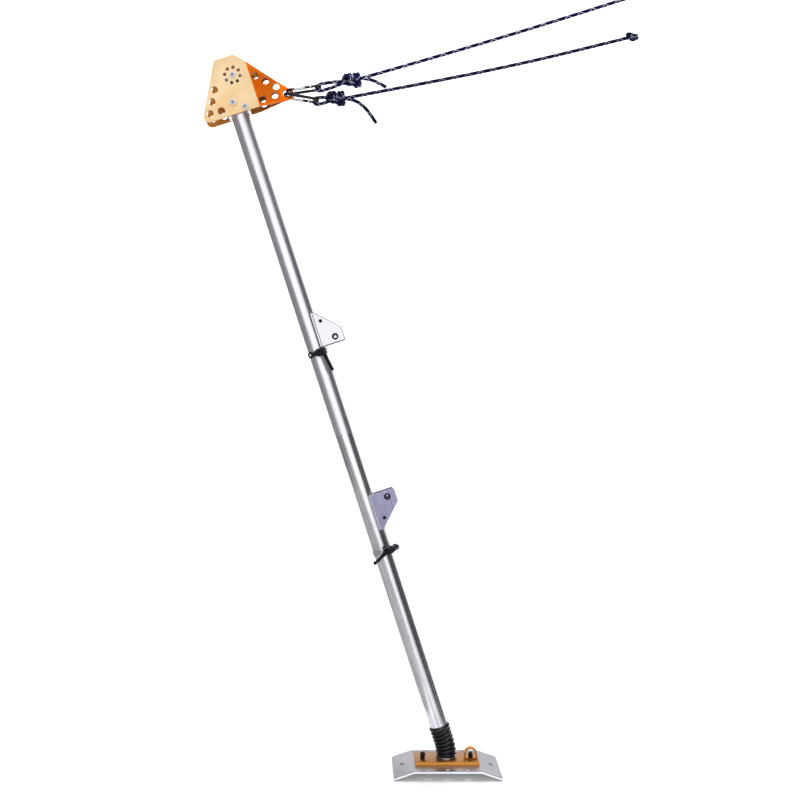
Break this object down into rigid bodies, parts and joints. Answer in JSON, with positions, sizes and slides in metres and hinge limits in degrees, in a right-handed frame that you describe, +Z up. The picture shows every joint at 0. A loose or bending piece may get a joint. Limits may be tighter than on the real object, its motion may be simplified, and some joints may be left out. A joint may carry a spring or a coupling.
{
  "type": "gin pole",
  "caption": "Leaning lifting pole of two aluminium tubes with a bent foot plate on a booted universal joint, a two-plate pulley head, clamp-on winch brackets and guy ropes on carabiners.",
  "frame": {"origin": "on the ground under the pivot of the foot", "axes": "+Z up, +X towards the guy ropes so the pole leans towards -X, +Y away from the viewer across the head plates"},
  "size_m": [1.4207, 0.184, 2.4675],
  "materials": {
    "foot_aluminium": "satin",
    "gold_anodised": "anodised",
    "head_anodised": "anodised",
    "satin_tube": "satin",
    "polished_tube": "polished",
    "machined_aluminium": "machined",
    "zinc_steel": "zinc plated",
    "forged_steel": "forged",
    "bronze": "machined",
    "black_steel": "black oxide",
    "black_plastic": "moulded",
    "boot_rubber": "moulded",
    "carabiner_black": "black anodised",
    "sleeve_silver": "satin",
    "upper_rope_sheath": "braided",
    "lower_rope_sheath": "braided"
  },
  "bodies": {
    "foot": {"foot_plate": "foot_aluminium", "base_plate": "gold_anodised", "foot_eye": "gold_anodised", "eye_bolt": "black_steel", "foot_nuts": "zinc_steel"},
    "knob": {"foot_knob": "black_steel"},
    "swivel": {"swivel_yoke": "forged_steel", "swivel_nut": "zinc_steel", "yoke_bushes": "bronze", "boot_collar": "zinc_steel", "rubber_boot": "boot_rubber"},
    "cross": {"cross": "forged_steel"},
    "lower_pole": {"pole_fork": "machined_aluminium", "fork_bushes": "bronze", "fork_pin": "zinc_steel", "lower_tube": "polished_tube", "spigot": "machined_aluminium", "spigot_pin": "zinc_steel"},
    "upper_pole": {"upper_tube": "satin_tube", "head_block": "machined_aluminium", "front_plate": "head_anodised", "rear_plate": "head_anodised", "sheave_axle": "zinc_steel", "axle_spacers": "zinc_steel", "head_bolts": "zinc_steel", "head_nuts": "zinc_steel"},
    "sheave": {"sheave": "machined_aluminium", "sheave_bearing": "forged_steel"},
    "upper_bracket": {"upper_bracket_shell": "machined_aluminium", "upper_saddle": "machined_aluminium", "upper_pin_bushes": "black_plastic", "upper_bracket_rivet": "zinc_steel", "upper_clamp_band": "zinc_steel", "upper_clamp_screw": "zinc_steel"},
    "upper_lever": {"upper_clamp_lever": "black_plastic"},
    "lower_bracket": {"lower_bracket_shell": "machined_aluminium", "lower_saddle": "machined_aluminium", "lower_pin_bushes": "black_plastic", "lower_bracket_rivet": "zinc_steel", "lower_clamp_band": "zinc_steel", "lower_clamp_screw": "zinc_steel"},
    "lower_lever": {"lower_clamp_lever": "black_plastic"},
    "upper_guy": {"upper_carabiner": "carabiner_black", "upper_gate_pin": "zinc_steel", "upper_knot": "upper_rope_sheath", "upper_rope": "upper_rope_sheath", "upper_tail": "upper_rope_sheath", "upper_end_knot": "upper_rope_sheath"},
    "upper_gate": {"upper_gate": "carabiner_black"},
    "upper_sleeve": {"upper_sleeve": "sleeve_silver"},
    "lower_guy": {"lower_carabiner": "carabiner_black", "lower_gate_pin": "zinc_steel", "lower_knot": "lower_rope_sheath", "lower_rope": "lower_rope_sheath", "lower_tail": "lower_rope_sheath", "lower_end_knot": "lower_rope_sheath"},
    "lower_gate": {"lower_gate": "carabiner_black"},
    "lower_sleeve": {"lower_sleeve": "sleeve_silver"}
  },
  "joints": [
    {"name": "knob_turn", "type": "hinge", "parent": "foot", "child": "knob", "pos_m": [-0.075, -0.016, 0.045], "axis": [0, 0, 1], "continuous": true},
    {"name": "foot_swivel", "type": "hinge", "parent": "foot", "child": "swivel", "pos_m": [0, 0, 0.042], "axis": [0, 0, 1], "continuous": true},
    {"name": "side_lean", "type": "hinge", "parent": "swivel", "child": "cross", "pos_m": [0, 0, 0.072], "axis": [1, 0, 0], "range_deg": [-25, 25], "deforming": ["rubber_boot"]},
    {"name": "pole_lean", "type": "hinge", "parent": "cross", "child": "lower_pole", "pos_m": [0, 0, 0.072], "axis": [0, 1, 0], "range_deg": [-7, 43], "deforming": ["rubber_boot"]},
    {"name": "section_pull", "type": "slide", "parent": "lower_pole", "child": "upper_pole", "axis": [-0.3098, 0, 0.9508], "range_m": [0, 0.14]},
    {"name": "sheave_spin", "type": "hinge", "parent": "upper_pole", "child": "sheave", "pos_m": [-0.66863, 0, 2.1786], "axis": [0, 1, 0], "continuous": true},
    {"name": "upper_bracket_slide", "type": "slide", "parent": "upper_pole", "child": "upper_bracket", "axis": [-0.3098, 0, 0.9508], "range_m": [-0.24, 0.62]},
    {"name": "lower_bracket_slide", "type": "slide", "parent": "lower_pole", "child": "lower_bracket", "axis": [-0.3098, 0, 0.9508], "range_m": [-0.5, 0.19]},
    {"name": "upper_lever_turn", "type": "hinge", "parent": "upper_bracket", "child": "upper_lever", "pos_m": [-0.41294, -0.04402, 1.30893], "axis": [0.93, -0.2079, 0.3031], "range_deg": [-120, 12]},
    {"name": "lower_lever_turn", "type": "hinge", "parent": "lower_bracket", "child": "lower_lever", "pos_m": [-0.1671, -0.02645, 0.70224], "axis": [-0.5589, -0.809, -0.1821], "range_deg": [0, 150]},
    {"name": "upper_guy_swing", "type": "hinge", "parent": "upper_pole", "child": "upper_guy", "pos_m": [-0.4993, 0, 2.13473], "axis": [0, 1, 0], "range_deg": [-20, 0]},
    {"name": "upper_gate_swing", "type": "hinge", "parent": "upper_guy", "child": "upper_gate", "pos_m": [-0.42008, -0.02425, 2.14587], "axis": [-0.1392, 0, 0.9903], "range_deg": [-20, 0], "stiffness_Nm_per_rad": 0.15, "springref_deg": 2.86},
    {"name": "upper_sleeve_turn", "type": "hinge", "parent": "upper_gate", "child": "upper_sleeve", "pos_m": [-0.45969, -0.02425, 2.1403], "axis": [0.9903, 0, 0.1392], "continuous": true},
    {"name": "lower_guy_swing", "type": "hinge", "parent": "upper_pole", "child": "lower_guy", "pos_m": [-0.5063, 0, 2.12473], "axis": [0, 1, 0], "range_deg": [0, 30]},
    {"name": "lower_gate_swing", "type": "hinge", "parent": "lower_guy", "child": "lower_gate", "pos_m": [-0.42752, 0.02425, 2.11084], "axis": [0.1736, 0, 0.9848], "range_deg": [0, 10], "stiffness_Nm_per_rad": 0.15, "springref_deg": -2.86},
    {"name": "lower_sleeve_turn", "type": "hinge", "parent": "lower_gate", "child": "lower_sleeve", "pos_m": [-0.46691, 0.02425, 2.11779], "axis": [0.9848, 0, -0.1736], "continuous": true}
  ]
}
